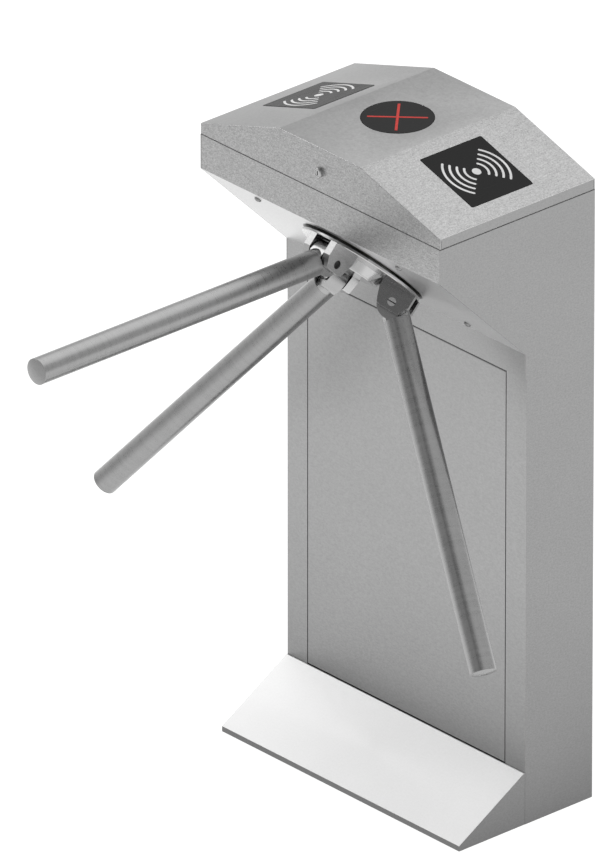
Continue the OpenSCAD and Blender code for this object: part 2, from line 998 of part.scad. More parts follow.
module front_plate() {
    color("slategray")
    in_rotor_frame()
        difference() {
            rounded_plate(plate_w, plate_h, plate_corner, front_plate_z, front_plate_z + plate_t);
            rod(bearing_r + housing_wall, front_plate_z - over, front_plate_z + plate_t + over);
            at_screws() rod(screw_r, front_plate_z - over, front_plate_z + plate_t + over);
            at_pawl_pins() rod(pawl_pin_r, front_plate_z - over, front_plate_z + plate_t + over);
        }
}

module rear_plate() {
    low = rear_plate_z - plate_t;
    color("slategray")
    in_rotor_frame()
        difference() {
            rounded_plate(rear_w, rear_h, plate_corner, low, rear_plate_z);
            rod(bearing_r + housing_wall, low - over, rear_plate_z + over);
            at_pawl_pins() rod(pawl_pin_r, low - over, rear_plate_z + over);
            at_damper() rod(damper_shaft_room, low - over, rear_plate_z + over);
        }
}

module plate_pillars() {
    color("silver")
    in_rotor_frame()
        for (x = [-1, 1])
            for (y = [-1, 1])
                translate([x * pillar_x, y * pillar_y, 0])
                    rod(pillar_r, rear_plate_z, front_plate_z);
}

// A flanged sleeve: its flange lies on the plate's inner face, its sleeve fills the plate's bore
module bearing_housing() {
    sleeve_r = bearing_r + housing_wall;
    rotate_extrude()
        polygon([
            [bearing_r, -housing_flange_h], [housing_flange_r, -housing_flange_h],
            [housing_flange_r, 0], [sleeve_r, 0], [sleeve_r, plate_t + housing_lip_h],
            [bearing_r - housing_lip, plate_t + housing_lip_h],
            [bearing_r - housing_lip, plate_t], [bearing_r, plate_t],
        ]);
}

module bearing() {
    inner = shaft_r + fit;
    race = (bearing_r - inner) * race_share;
    difference() {
        ring(bearing_r, inner, -housing_flange_h, plate_t);
        for (z = [-housing_flange_h - over, plate_t - bearing_groove])
            ring(bearing_r - race, inner + race, z, z + bearing_groove + over);
    }
}

module at_both_plates() {
    in_rotor_frame() {
        translate([0, 0, front_plate_z]) children();
        translate([0, 0, rear_plate_z]) mirror([0, 0, 1]) children();
    }
}

module bearing_housings() {
    color("darkgray") at_both_plates() bearing_housing();
}

module shaft_bearings() {
    color("lightgray") at_both_plates() bearing();
}

// Rotor

module rotor_shaft() {
    color("silver")
    in_rotor_frame() {
        rod(shaft_r, shaft_end_z, hub_back);
        rod(spigot_r, hub_back - over, nut_seat + nut_h);
    }
}

module shaft_nuts() {
    color("gray")
    in_rotor_frame() {
        difference() {
            translate([0, 0, nut_seat]) cylinder(r = nut_r, h = nut_h, $fn = hex_sides);
            rod(spigot_r, nut_seat - over, nut_seat + nut_h + over);
        }
        difference() {
            translate([0, 0, shaft_end_z]) cylinder(r = rear_nut_r, h = rear_nut_h, $fn = hex_sides);
            rod(shaft_r, shaft_end_z - over, encoder_z + over);
        }
    }
}

ear_outline = concat(
    [
        [clevis_in, ear_foot], [clevis_reach, ear_foot], [clevis_reach, ear_nose_h],
        [clevis_reach - ear_nose_in, ear_top], [pin_radius - ear_above_pin, ear_top],
    ],
    ear_heel
);

module clevis_ears() {
    for (side = [0, 1])
        mirror([side, 0, 0])
            difference() {
                prism_x(ear_outline, slot_half, clevis_half);
                translate([0, pin_radius, pin_height])
                    rod_x(pin_r, slot_half - over, clevis_half + over);
            }
}

module rotor_hub() {
    color("lightgray")
    in_rotor_frame() {
        rotate_extrude()
            polygon([
                [spigot_r, hub_back], [neck_r, hub_back], [neck_r, hub_gap],
                [hub_r, hub_gap], [hub_r, hub_face - hub_rim],
                [hub_r - hub_rim, hub_face], [boss_base_r, hub_face], [boss_top_r, boss_h],
                [hub_cap_r, boss_h], [hub_cap_r, boss_h - hub_cap_t],
                [nut_room_r, boss_h - hub_cap_t], [nut_room_r, nut_seat], [spigot_r, nut_seat],
            ]);
        for (turn = arm_turns)
            rotate([0, 0, -turn]) clevis_ears();
    }
}

module hub_cap() {
    color("gray")
    in_rotor_frame()
        rotate_extrude()
            polygon([
                [0, boss_h - hub_cap_t], [hub_cap_r, boss_h - hub_cap_t], [hub_cap_r, boss_h],
                [hub_cap_r - hub_cap_dome, boss_h + hub_cap_dome], [0, boss_h + hub_cap_dome],
            ]);
}

module pivot_pins() {
    low = pin_inset - clevis_half;
    color("dimgray")
    in_rotor_frame()
        for (turn = arm_turns)
            rotate([0, 0, -turn])
                translate([0, pin_radius, pin_height])
                    difference() {
                        rod_x(pin_r, low, clevis_half - pin_socket);
                        block(
                            [low - over, -pin_r, -pin_slot_w / 2],
                            [low + pin_slot_h, pin_r, pin_slot_w / 2]
                        );
                    }
}

// Arms

module arm_root(turn) {
    half = root_w / 2;
    color("silver")
    in_arm_frame(turn)
        difference() {
            union() {
                rod_x(root_r, -half, half);
                intersection() {
                    rod(arm_r, 0, root_l);
                    block([-half, -arm_r, 0], [half, arm_r, root_l]);
                }
                rod(arm_r - arm_wall, root_l - over, root_l + spigot_l);
            }
            rod_x(pin_r + fit, -half - over, half + over);
        }
}

module arm_tube(turn) {
    color("silver")
    in_arm_frame(turn) ring(arm_r, arm_r - arm_wall, root_l, root_l + tube_l);
}

module arm_cap(turn) {
    end = arm_reach - cap_t;
    dish_r = ((arm_r - cap_bevel) ^ 2 + cap_dish ^ 2) / (2 * cap_dish);
    color("gainsboro")
    in_arm_frame(turn)
        difference() {
            union() {
                rod(arm_r - arm_wall, end - cap_spigot_l, end + over);
                rod(arm_r, end, arm_reach - cap_bevel);
                translate([0, 0, arm_reach - cap_bevel])
                    cylinder(r1 = arm_r, r2 = arm_r - cap_bevel, h = cap_bevel);
            }
            translate([0, 0, arm_reach - cap_dish + dish_r]) sphere(dish_r);
        }
}

// Locking disc, pawls and solenoids

module locking_disc() {
    color("darkgray")
    in_rotor_frame()
        difference() {
            union() {
                rod(lock_disc_r, lock_disc_z, lock_disc_z + lock_disc_t);
                rod(lock_disc_boss_r, lock_disc_z - lock_disc_boss,
                    lock_disc_z + lock_disc_t + lock_disc_boss);
            }
            rod(shaft_r, lock_disc_z - lock_disc_boss - over,
                lock_disc_z + lock_disc_t + lock_disc_boss + over);
            for (i = [0 : notches - 1])
                rotate([0, 0, i * 360 / notches])
                    block(
                        [lock_disc_r - notch_depth, -notch_w / 2, lock_disc_z - over],
                        [lock_disc_r + over, notch_w / 2, lock_disc_z + lock_disc_t + over]
                    );
        }
}

module at_pawl_pins() {
    for (side = [-1, 1])
        translate([side * pawl_x, pawl_y, 0]) children();
}

module pawl_pins() {
    low = pawl_z - loose;
    high = pawl_z + pawl_t + loose;
    color("silver")
    in_rotor_frame()
        at_pawl_pins() {
            rod(pawl_pin_r, rear_plate_z - plate_t, front_plate_z + plate_t);
            rod(pawl_collar_r, rear_plate_z, low);
            rod(pawl_collar_r, high, front_plate_z);
        }
}

// Right pawl, drawn engaged and then swung back to its rest
module pawl() {
    high = pawl_z + pawl_t;
    tip = lock_disc_r - pawl_nose_bite - pawl_x;
    translate([pawl_x, pawl_y, 0])
        rotate([0, 0, pawl_swing])
            difference() {
                union() {
                    rod(pawl_boss_r, pawl_z, high);
                    block([-pawl_bar_in, -pawl_y - pawl_nose_w / 2, pawl_z], [pawl_bar_out, 0, high]);
                    block(
                        [tip, -pawl_y - pawl_nose_w / 2, pawl_z],
                        [0, pawl_nose_w / 2 - pawl_y, high]
                    );
                    rotate([0, 0, -pawl_swing]) {
                        block([0, -pawl_tail_half, pawl_z], [pawl_tail_l, pawl_tail_half, high]);
                        translate([pawl_tail_l, 0, 0]) rod(pawl_end_r, pawl_z, high);
                    }
                }
                rod(pawl_pin_r + fit, pawl_z - over, high + over);
                rotate([0, 0, -pawl_swing])
                    translate([pawl_tail_l, 0, 0])
                        link_slot(link_pin_r + link_slot_gap, pawl_z - over, high + over);
            }
}

module link_slot(r, z0, z1) {
    for (side = [-1, 1])
        translate([side * link_slot_run, 0, 0]) rod(r, z0, z1);
    block([-link_slot_run, -r, z0], [link_slot_run, r, z1]);
}

module pawl_right() {
    color("gray") in_rotor_frame() pawl();
}

module pawl_left() {
    color("gray") in_rotor_frame() mirror([1, 0, 0]) pawl();
}

module plunger() {
    slot_half_z = pawl_t / 2 + fork_gap;
    translate([plunger_x, 0, plunger_z]) {
        rod_y(plunger_r, plunger_low, plunger_neck);
        difference() {
            block(
                [-plunger_r, plunger_neck - over, -fork_half],
                [plunger_r, fork_top, fork_half]
            );
            block(
                [-plunger_r - over, fork_base, -slot_half_z],
                [plunger_r + over, fork_top + over, slot_half_z]
            );
        }
        translate([0, pawl_y, 0]) rod(link_pin_r, -fork_half, fork_half);
    }
}

module plunger_right() {
    color("silver") in_rotor_frame() plunger();
}

module plunger_left() {
    color("silver") in_rotor_frame() mirror([1, 0, 0]) plunger();
}

module solenoid() {
    foot_z = front_plate_z - plunger_z;
    translate([plunger_x, 0, plunger_z])
        difference() {
            union() {
                block(
                    [-solenoid_half, solenoid_low - solenoid_foot, foot_z - solenoid_end_t],
                    [solenoid_half, solenoid_high + solenoid_foot, foot_z]
                );
                for (y = [solenoid_low, solenoid_high - solenoid_end_t])
                    block(
                        [-solenoid_half, y, -solenoid_half],
                        [solenoid_half, y + solenoid_end_t, foot_z - solenoid_end_t / 2]
                    );
                rod_y(coil_r, solenoid_low + solenoid_end_t / 2, solenoid_high - solenoid_end_t / 2);
            }
            rod_y(plunger_r + fit, solenoid_low + coil_floor, solenoid_high + over);
        }
}

module solenoids() {
    color("darkgoldenrod")
    in_rotor_frame() {
        solenoid();
        mirror([1, 0, 0]) solenoid();
    }
}

// Gear train: an involute main gear on the shaft and a pinion on the damper

function involute(base_r, r) =
    let (angle = acos(min(1, base_r / r)))
    tan(angle) * 180 / PI - angle;

// Angle from a tooth's middle to its flank at a radius
function flank_angle(teeth, base_r, r) =
    90 / teeth - tooth_gap / (teeth * tooth_module) * 180 / PI
    + involute(base_r, teeth * tooth_module / 2) - involute(base_r, max(r, base_r));

function gear_outline(teeth) =
    let (
        pitch_r = teeth * tooth_module / 2,
        base_r = pitch_r * cos(pressure_angle),
        tip_r = pitch_r + addendum_share * tooth_module,
        root_r = pitch_r - dedendum_share * tooth_module,
        start_r = max(base_r, root_r),
        radii = concat(
            root_r < base_r ? [root_r] : [],
            [for (i = [0 : flank_steps]) start_r + (tip_r - start_r) * i / flank_steps]
        ),
        last = len(radii) - 1,
        low_flank = [for (r = radii) [r, -flank_angle(teeth, base_r, r)]],
        high_flank = [for (i = [0 : last]) [radii[last - i], flank_angle(teeth, base_r, radii[last - i])]]
    )
    [
        for (tooth = [0 : teeth - 1])
            for (p = concat(low_flank, high_flank))
                p[0] * [cos(p[1] + tooth * 360 / teeth), sin(p[1] + tooth * 360 / teeth)]
    ];

module at_damper() {
    rotate([0, 0, damper_turn]) translate([damper_distance, 0, 0]) children();
}

module main_gear() {
    color("goldenrod")
    in_rotor_frame()
        difference() {
            union() {
                translate([0, 0, gear_z])
                    rotate([0, 0, damper_turn])
                        linear_extrude(gear_t) polygon(gear_outline(gear_teeth));
                rod(gear_boss_r, gear_z, gear_z + gear_t + gear_boss);
            }
            rod(shaft_r, gear_z - over, gear_z + gear_t + gear_boss + over);
            for (i = [0 : gear_holes - 1])
                rotate([0, 0, i * 360 / gear_holes])
                    translate([gear_hole_at, 0, 0])
                        rod(gear_hole_r, gear_z - over, gear_z + gear_t + over);
        }
}

module damper_pinion() {
    color("gray")
    in_rotor_frame()
        at_damper() {
            // Half a tooth turned, so that a gap faces the main gear's tooth
            translate([0, 0, gear_z])
                rotate([0, 0, 180 + 180 / pinion_teeth])
                    linear_extrude(gear_t) polygon(gear_outline(pinion_teeth));
            rod(damper_shaft_r, gear_z - damper_shaft_tail, rear_plate_z + damper_h - damper_floor - loose);
        }
}

module damper_body() {
    top = rear_plate_z + damper_h;
    color("black")
    in_rotor_frame()
        at_damper()
            difference() {
                union() {
                    rod(damper_flange_r, rear_plate_z, rear_plate_z + damper_flange_h);
                    rod(damper_r, rear_plate_z, top);
                }
                rod(damper_shaft_r + fit, rear_plate_z - over, top - damper_floor);
            }
}

module encoder_disc() {
    disc_z = encoder_z + encoder_boss_back;
    color("black")
    in_rotor_frame()
        difference() {
            union() {
                rod(encoder_r, disc_z, disc_z + encoder_t);
                rod(encoder_boss_r, encoder_z, gear_z);
            }
            rod(shaft_r, encoder_z - over, gear_z + over);
            for (i = [0 : encoder_slots - 1])
                rotate([0, 0, i * 360 / encoder_slots])
                    block(
                        [encoder_slot_at, -encoder_slot_w / 2, disc_z - over],
                        [encoder_slot_at + encoder_slot_l, encoder_slot_w / 2, disc_z + encoder_t + over]
                    );
        }
}

fork_slot_z = encoder_z + encoder_boss_back + encoder_t / 2;
fork_low_z = fork_slot_z - fork_h / 2 + over;

module sensor_bracket() {
    plate_low = rear_plate_z - plate_t;
    arm_z = fork_low_z - bracket_t;
    color("silver")
    in_rotor_frame() {
        block(
            [bracket_x, -bracket_half, plate_low - bracket_t],
            [bracket_x + bracket_foot, bracket_half, plate_low]
        );
        block([bracket_x, -bracket_half, arm_z], [bracket_x + bracket_t, bracket_half, plate_low]);
        block(
            [fork_x + fork_slot_l, -bracket_half, arm_z],
            [bracket_x + bracket_t, bracket_half, fork_low_z]
        );
    }
}

module sensor_forks() {
    color("black")
    in_rotor_frame()
        for (side = [-1, 1])
            translate([fork_x, side * fork_y - fork_d / 2, fork_low_z])
                difference() {
                    cube([fork_l, fork_d, fork_h]);
                    translate([-over, -over, fork_slot_z - fork_low_z - fork_slot_h / 2])
                        cube([fork_slot_l + over, fork_d + 2 * over, fork_slot_h]);
                }
}

// Electronics

module electronics_tray() {
    color("silver") {
        block([-tray_half, tray_y, tray_low_z], [tray_half, tray_y + tray_t, tray_high_z]);
        for (z = [tray_low_z, tray_high_z - tray_t])
            block([-tray_half, tray_y - tray_fold, z], [tray_half, tray_y + tray_t, z + tray_t]);
        for (x = [tray_boss_in - tray_half, tray_half - tray_boss_in])
            for (z = [tray_low_z + tray_boss_in, tray_high_z - tray_boss_in])
                translate([x, 0, z]) rod_y(tray_boss_r, tray_y + tray_t / 2, back_in_y);
    }
}

module control_board() {
    color("darkgreen") {
        block([board_low.x, board_y, board_low.y], [board_high.x, board_y + board_t, board_high.y]);
        for (x = [board_low.x + board_boss_in, board_high.x - board_boss_in])
            for (z = [board_low.y + board_boss_in, board_high.y - board_boss_in])
                translate([x, 0, z]) rod_y(board_boss_r, board_y + board_t / 2, tray_y);
        for (i = [0 : relays - 1])
            translate([relay_low.x + i * relay_step, board_y - relay.y, relay_low.y]) cube(relay);
        translate([chip_low.x, board_y - chip.y, chip_low.y]) cube(chip);
        translate([plug_row_low.x, board_y - plug_row.y, plug_row_low.y]) cube(plug_row);
    }
}

module power_supply() {
    color("lightgray")
    difference() {
        block([supply_low.x, tray_y - supply_d, supply_low.y], [supply_high.x, tray_y, supply_high.y]);
        for (i = [0 : supply_vents - 1])
            translate([
                (supply_low.x + supply_high.x - supply_vent.x) / 2,
                tray_y - supply_d - over,
                supply_low.y + supply_vent_from_low + i * supply_vent_step
            ])
                cube([supply_vent.x, supply_vent_depth + over, supply_vent.y]);
    }
}

module arm_root_1() {
    arm_root(arm_turns[0]);
}
module arm_root_2() {
    arm_root(arm_turns[1]);
}
module arm_root_3() {
    arm_root(arm_turns[2]);
}
module arm_tube_1() {
    arm_tube(arm_turns[0]);
}
module arm_tube_2() {
    arm_tube(arm_turns[1]);
}
module arm_tube_3() {
    arm_tube(arm_turns[2]);
}
module arm_cap_1() {
    arm_cap(arm_turns[0]);
}
module arm_cap_2() {
    arm_cap(arm_turns[1]);
}
module arm_cap_3() {
    arm_cap(arm_turns[2]);
}

floor_plate();
side_panel_left();
side_panel_right();
back_panel();
front_cowl();
front_panel();
foot_cover();
panel_screws();
cable_bush();
hinge_cabinet_leaf();
hinge_pin();
lock_strike();
lid_shell();
hinge_lid_leaf();
lid_seal();
reader_windows();
reader_modules();
indicator_window();
cross_light();
indicator_housing();
lock_barrel();
lock_plug();
lock_cam();
underside_screws();
spacer_tubes();
front_plate();
plate_pillars();
rear_plate();
bearing_housings();
shaft_bearings();
pawl_pins();
solenoids();
damper_body();
sensor_bracket();
sensor_forks();
electronics_tray();
control_board();
power_supply();
rotor_hub();
hub_cap();
rotor_shaft();
shaft_nuts();
locking_disc();
main_gear();
encoder_disc();
pivot_pins();
damper_pinion();
pawl_left();
pawl_right();
plunger_left();
plunger_right();
arm_root_1();
arm_tube_1();
arm_cap_1();
arm_root_2();
arm_tube_2();
arm_cap_2();
arm_root_3();
arm_tube_3();
arm_cap_3();
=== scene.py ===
import json
import math

import bmesh
import bpy
from mathutils import Euler, Matrix, Vector


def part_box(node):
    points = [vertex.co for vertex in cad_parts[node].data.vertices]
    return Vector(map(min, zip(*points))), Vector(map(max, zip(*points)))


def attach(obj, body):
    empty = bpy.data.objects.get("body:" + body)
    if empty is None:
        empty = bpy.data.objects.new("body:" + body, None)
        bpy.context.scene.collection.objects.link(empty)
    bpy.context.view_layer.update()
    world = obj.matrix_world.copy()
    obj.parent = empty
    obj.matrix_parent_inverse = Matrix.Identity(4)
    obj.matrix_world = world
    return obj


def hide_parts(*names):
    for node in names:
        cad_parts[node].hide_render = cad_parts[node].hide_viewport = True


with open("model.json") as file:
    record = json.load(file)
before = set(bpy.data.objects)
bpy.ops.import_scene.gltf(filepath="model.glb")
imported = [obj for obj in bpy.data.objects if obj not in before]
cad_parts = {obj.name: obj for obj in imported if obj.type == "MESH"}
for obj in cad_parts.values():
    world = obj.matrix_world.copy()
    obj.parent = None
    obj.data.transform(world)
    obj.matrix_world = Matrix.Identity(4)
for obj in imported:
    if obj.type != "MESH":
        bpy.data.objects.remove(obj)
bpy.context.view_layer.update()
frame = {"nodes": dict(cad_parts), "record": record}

MM = 0.001
ARMS = (1, 2, 3)
UP = Vector((0, 0, 1))
FRONT = Vector((0, -1, 0))


def joint(name):
    """The frame's joint of that name."""
    return next(j for j in frame["record"]["behaviour"]["joints"] if j["name"] == name)


def arm_axis(number):
    """The arm's pivot and the direction in which the arm points."""
    low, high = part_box(f"arm_tube_{number}")
    pivot = Vector(joint(f"arm_drop_{number}")["pos_m"])
    return pivot, ((low + high) / 2 - pivot).normalized()


# Places taken from the frame
LID_SEAM_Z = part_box("lid_shell")[0].z
DOOR_SEAM_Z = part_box("front_panel")[1].z
ROTOR = Vector(joint("rotor_spin")["pos_m"])
ROTOR_AXIS = Vector(joint("rotor_spin")["axis"])


# Materials

SOCKETS = {
    "color": "Base Color",
    "metallic": "Metallic",
    "roughness": "Roughness",
    "ior": "IOR",
    "anisotropy": "Anisotropic",
    "specular": "Specular IOR Level",
    "glow": "Emission Color",
    "glow_strength": "Emission Strength",
}
BLACK = (0, 0, 0, 1)

# Each noise has its waves per metre, detail, roughness, distortion, and the shares by which
# it is drawn out along x, y and z, the smaller the longer
NOISES = {
    "scratches": (520, 2, 0.6, 0, (0.6, 0.6, 1)),
    "hairs": (1500, 2, 0.5, 0, (0.06, 0.06, 1)),
    "clouds": (7, 3, 0.5, 0, (1, 1, 1)),
    "rings": (1100, 3, 0.6, 0, (0.06, 0.06, 1)),
    "bands": (160, 2, 0.5, 0, (0.02, 0.02, 1)),
    "specks": (500, 2, 0.5, 0, (1, 1, 1)),
    "swirls": (260, 4, 0.6, 0.4, (1, 1, 1)),
    "film": (30, 3, 0.5, 0, (1, 1, 1)),
    "peel": (700, 3, 0.55, 0, (1, 1, 1)),
    "cast_patches": (25, 4, 0.6, 0, (1, 1, 1)),
    "spark_grain": (1500, 3, 0.6, 0, (1, 1, 1)),
    "moulded_patches": (40, 3, 0.5, 0, (1, 1, 1)),
    "wiping": (220, 3, 0.5, 0, (1, 0.12, 1)),
    "dust": (1800, 2, 0.5, 0, (1, 1, 1)),
    "light_cells": (350, 2, 0.5, 0, (1, 1, 1)),
    "board_cells": (160, 1, 0.4, 0, (1, 1, 1)),
    "mottle": (3, 3, 0.5, 0, (1, 1, 1)),
}

# The usual range of one noise, and of the sums of noises that are the grain of metals
NOISE_SPAN = (0.3, 0.7)
BRUSHED_SPAN = (0.35, 1.05)
TURNED_SPAN = (1.1, 1.9)

HAIR_SHARE = 0.4
CLOUD_CONTRAST = 0.015
SHEET_CONTRAST = 0.17
SHEET_ROUGHNESS = 0.38
SHEET_ANISOTROPY = 0.3
TURNED_CONTRAST = 0.05
GRAIN_DEPTH = 0.02 * MM

# Painted shade along seams and in the gap round the hub: how dark it is, and over what distance it
# fades
LID_SEAM_WIDTH = 0.4 * MM
DOOR_SEAM_WIDTH = 1.0 * MM
SEAM_LIGHT = 0.15
SEAM_FADE_WIDTHS = 3
HUB_R = 92 * MM
HUB_GAP = 1 * MM
HUB_GAP_FADE = 2 * MM
HUB_GAP_LIGHT = 0.03

# Height over which the shade of the floor fades up the cabinet's walls
FOOT_SHADE_REACH = 160 * MM
FOOT_SHADE = 0.45
SIDE_FOOT_SHADE = 0.42

SWIRL_DEPTH = 0.01 * MM
CAST_DEPTH = 0.12 * MM
PLATED_DEPTH = 0.03 * MM
SMOOTH_DEPTH = 0.02 * MM
TRACK_DEPTH = 0.03 * MM
DUST_DEPTH = 0.004 * MM
MOULD_DEPTH = 0.05 * MM
RUBBER_DEPTH = 0.1 * MM
PRINT_DEPTH = 0.01 * MM

DARK_FILM = 0.93
DARK_CAST_PATCH = 0.85
DARK_MOULDED_PATCH = 0.82
DUST_SPAN = (0.55, 0.75)
DUST_PALER = 0.008
TRACK_SPAN = (0.48, 0.52)


class Finish:
    """A material under construction: its nodes, and the shader that they feed."""

    def __init__(self, name, color, **fixed):
        self.material = bpy.data.materials.new(name)
        self.material.use_nodes = True
        self.material.diffuse_color = color
        self.tree = self.material.node_tree
        self.shader = self.tree.nodes["Principled BSDF"]
        self.place = self.node("ShaderNodeTexCoord").outputs["Object"]
        self.drive("color", color)
        for key, value in fixed.items():
            self.drive(key, value)

    def node(self, kind, settings=None, **inputs):
        """A new node, with its settings, and with a value or a link for each named input."""
        made = self.tree.nodes.new(kind)
        for key, value in (settings or {}).items():
            setattr(made, key, value)
        for key, value in inputs.items():
            self.feed(made.inputs[key.replace("_", " ")], value)
        return made

    def feed(self, socket, value):
        if isinstance(value, bpy.types.NodeSocket):
            self.tree.links.new(value, socket)
        else:
            socket.default_value = value

    def drive(self, key, value):
        """Feeds one of the shader's own inputs."""
        self.feed(self.shader.inputs[SOCKETS[key]], value)

    def noise(self, kind, turn=(0, 0, 0), coarseness=1.0):
        """One of the noises, over the object's own coordinates once they are turned."""
        waves, detail, roughness, distortion, stretch = NOISES[kind]
        aligned = self.node("ShaderNodeMapping", Vector=self.place, Rotation=Euler(turn))
        drawn = self.node("ShaderNodeMapping", Vector=aligned.outputs["Vector"], Scale=stretch)
        return self.node(
            "ShaderNodeTexNoise",
            Vector=drawn.outputs["Vector"],
            Scale=waves / coarseness,
            Detail=detail,
            Roughness=roughness,
            Distortion=distortion,
        ).outputs["Fac"]

    def spread(self, value, low, high, span=NOISE_SPAN):
        """Maps a value's usual range, its span, to low and high."""
        first, last = span
        return self.node(
            "ShaderNodeMapRange",
            Value=value,
            From_Min=first,
            From_Max=last,
            To_Min=low,
            To_Max=high,
        ).outputs["Result"]

    def roughen(self, noise, middle, less=0.05, more=0.05, span=NOISE_SPAN):
        """Lets the roughness follow a noise, from a little less than its middle to a little more."""
        self.drive("roughness", self.spread(noise, middle - less, middle + more, span))

    def maths(self, operation, *values):
        """The result of a sum on one or two numbers."""
        made = self.node("ShaderNodeMath", {"operation": operation})
        for socket, value in zip(made.inputs, values):
            self.feed(socket, value)
        return made.outputs["Value"]

    def vector_maths(self, operation, output, *values):
        """The named output of a sum on one or two vectors."""
        made = self.node("ShaderNodeVectorMath", {"operation": operation})
        for socket, value in zip(made.inputs, values):
            self.feed(socket, value)
        return made.outputs[output]

    def distance_from_axis(self, centre, axis):
        """Distance from the line through centre along axis."""
        offset = self.vector_maths("SUBTRACT", "Vector", self.place, centre)
        across = self.vector_maths("CROSS_PRODUCT", "Vector", offset, axis)
        return self.vector_maths("LENGTH", "Value", across)

    def height(self):
        """Height above the floor."""
        return self.node("ShaderNodeSeparateXYZ", Vector=self.place).outputs["Z"]

    def blend(self, amount, low, high):
        """The colour that lies between low and high by that amount, which may pass 1."""
        made = self.node(
            "ShaderNodeMix",
            {"data_type": "RGBA", "clamp_factor": False},
            Factor=amount,
            A=low,
            B=high,
        )
        return made.outputs["Result"]

    def light(self, amount, color):
        """Drives the surface's colour: the given one, made lighter or darker by that amount."""
        self.drive("color", self.blend(amount, BLACK, color))

    def bump(self, height, depth):
        made = self.node("ShaderNodeBump", Height=height, Distance=depth)
        self.feed(self.shader.inputs["Normal"], made.outputs["Normal"])


def grey(value, warmth=0.0):
    return (value * (1 + warmth), value, value * (1 - warmth), 1.0)


def turn_upright(axis):
    """Euler angles that bring an axis upright."""
    return tuple(axis.rotation_difference(UP).to_euler())


def painted_seam_shade(finish, seam_z, width):
    """Painted shade along a level seam's gap, fading out over a few of its widths."""
    distance = finish.maths("ABSOLUTE", finish.maths("SUBTRACT", finish.height(), seam_z))
    return finish.spread(distance, SEAM_LIGHT, 1, (width, SEAM_FADE_WIDTHS * width))


def foot_light(finish, shade):
    """The shade of the floor, which fades up the walls."""
    fade = finish.maths("EXPONENT", finish.maths("MULTIPLY", finish.height(), -1 / FOOT_SHADE_REACH))
    return finish.maths("SUBTRACT", 1, finish.maths("MULTIPLY", fade, shade))


def painted_hub_gap_shade(finish):
    """Painted shade in the narrow gap round the hub, on the faces close to its rim."""
    edge = HUB_R + HUB_GAP
    distance = finish.distance_from_axis(ROTOR, ROTOR_AXIS)
    return finish.spread(distance, HUB_GAP_LIGHT, 1, (edge, edge + HUB_GAP_FADE))


def brushed(
    name,
    tone,
    roughness=SHEET_ROUGHNESS,
    contrast=SHEET_CONTRAST,
    grain_size=1.0,
    foot_shade=0.0,
    seam_z=LID_SEAM_Z,
    seam_width=LID_SEAM_WIDTH,
    paint_hub_shade=False,
):
    """Brushed sheet: short level scratches and clouds, with painted shade at seams, at the foot and
    round the hub.
    """
    finish = Finish(name, grey(tone), metallic=1.0, anisotropy=SHEET_ANISOTROPY)
    scratches = finish.noise("scratches", coarseness=grain_size)
    hairs = finish.maths("MULTIPLY", finish.noise("hairs"), HAIR_SHARE)
    grain = finish.maths("ADD", scratches, hairs)
    # The clouds are the sheet's own tone; the seam, foot and hub terms are painted shade
    lights = [
        finish.spread(finish.noise("clouds"), 1 - CLOUD_CONTRAST, 1 + CLOUD_CONTRAST),
        painted_seam_shade(finish, seam_z, seam_width),
    ]
    if foot_shade:
        lights.append(foot_light(finish, foot_shade))
    if paint_hub_shade:
        lights.append(painted_hub_gap_shade(finish))
    total = finish.spread(grain, 1 - contrast, 1 + contrast, BRUSHED_SPAN)
    for light in lights:
        total = finish.maths("MULTIPLY", total, light)
    finish.light(total, grey(tone))
    finish.roughen(grain, roughness, span=BRUSHED_SPAN)
    finish.bump(grain, GRAIN_DEPTH)
    return finish.material


def turned(name, tone, roughness, contrast=TURNED_CONTRAST, axis=ROTOR_AXIS):
    """Ground or turned round stock: scratches run round the axis."""
    finish = Finish(name, grey(tone), metallic=1.0)
    turn = turn_upright(axis)
    rings = finish.noise("rings", turn)
    bands = finish.noise("bands", turn)
    specks = finish.noise("specks", turn)
    grain = finish.maths("ADD", rings, finish.maths("ADD", bands, specks))
    finish.light(finish.spread(grain, 1 - contrast, 1 + contrast, TURNED_SPAN), grey(tone))
    finish.roughen(grain, roughness, more=0.06, span=TURNED_SPAN)
    finish.bump(grain, GRAIN_DEPTH)
    return finish.material


def polished(name, tone, roughness):
    """Polished or plated metal: nearly a mirror, with faint swirls and a cloudy film."""
    finish = Finish(name, grey(tone), metallic=1.0)
    swirls = finish.noise("swirls")
    finish.light(finish.spread(finish.noise("film"), DARK_FILM, 1), grey(tone))
    finish.roughen(swirls, roughness, less=0.03)
    finish.bump(swirls, SWIRL_DEPTH)
    return finish.material


def cast(name, tone, roughness, metallic=1.0, warmth=0.0, depth=CAST_DEPTH):
    """Cast, plated or powder-coated surface: a fine orange peel with uneven gloss."""
    finish = Finish(name, grey(tone, warmth), metallic=metallic)
    patches = finish.noise("cast_patches")
    finish.light(finish.spread(patches, DARK_CAST_PATCH, 1), grey(tone, warmth))
    finish.roughen(patches, roughness, less=0.07, more=0.07)
    finish.bump(finish.noise("peel"), depth)
    return finish.material


def plastic(name, color, roughness, depth=MOULD_DEPTH):
    """Moulded plastic, rubber or ink: a fine grain and slight variation of tone."""
    finish = Finish(name, (*color, 1))
    grain = finish.noise("spark_grain")
    patches = finish.spread(finish.noise("moulded_patches"), 0, 1)
    dark = [DARK_MOULDED_PATCH * share for share in color]
    finish.drive("color", finish.blend(patches, (*dark, 1), (*color, 1)))
    finish.roughen(grain, roughness)
    finish.bump(grain, depth)
    return finish.material


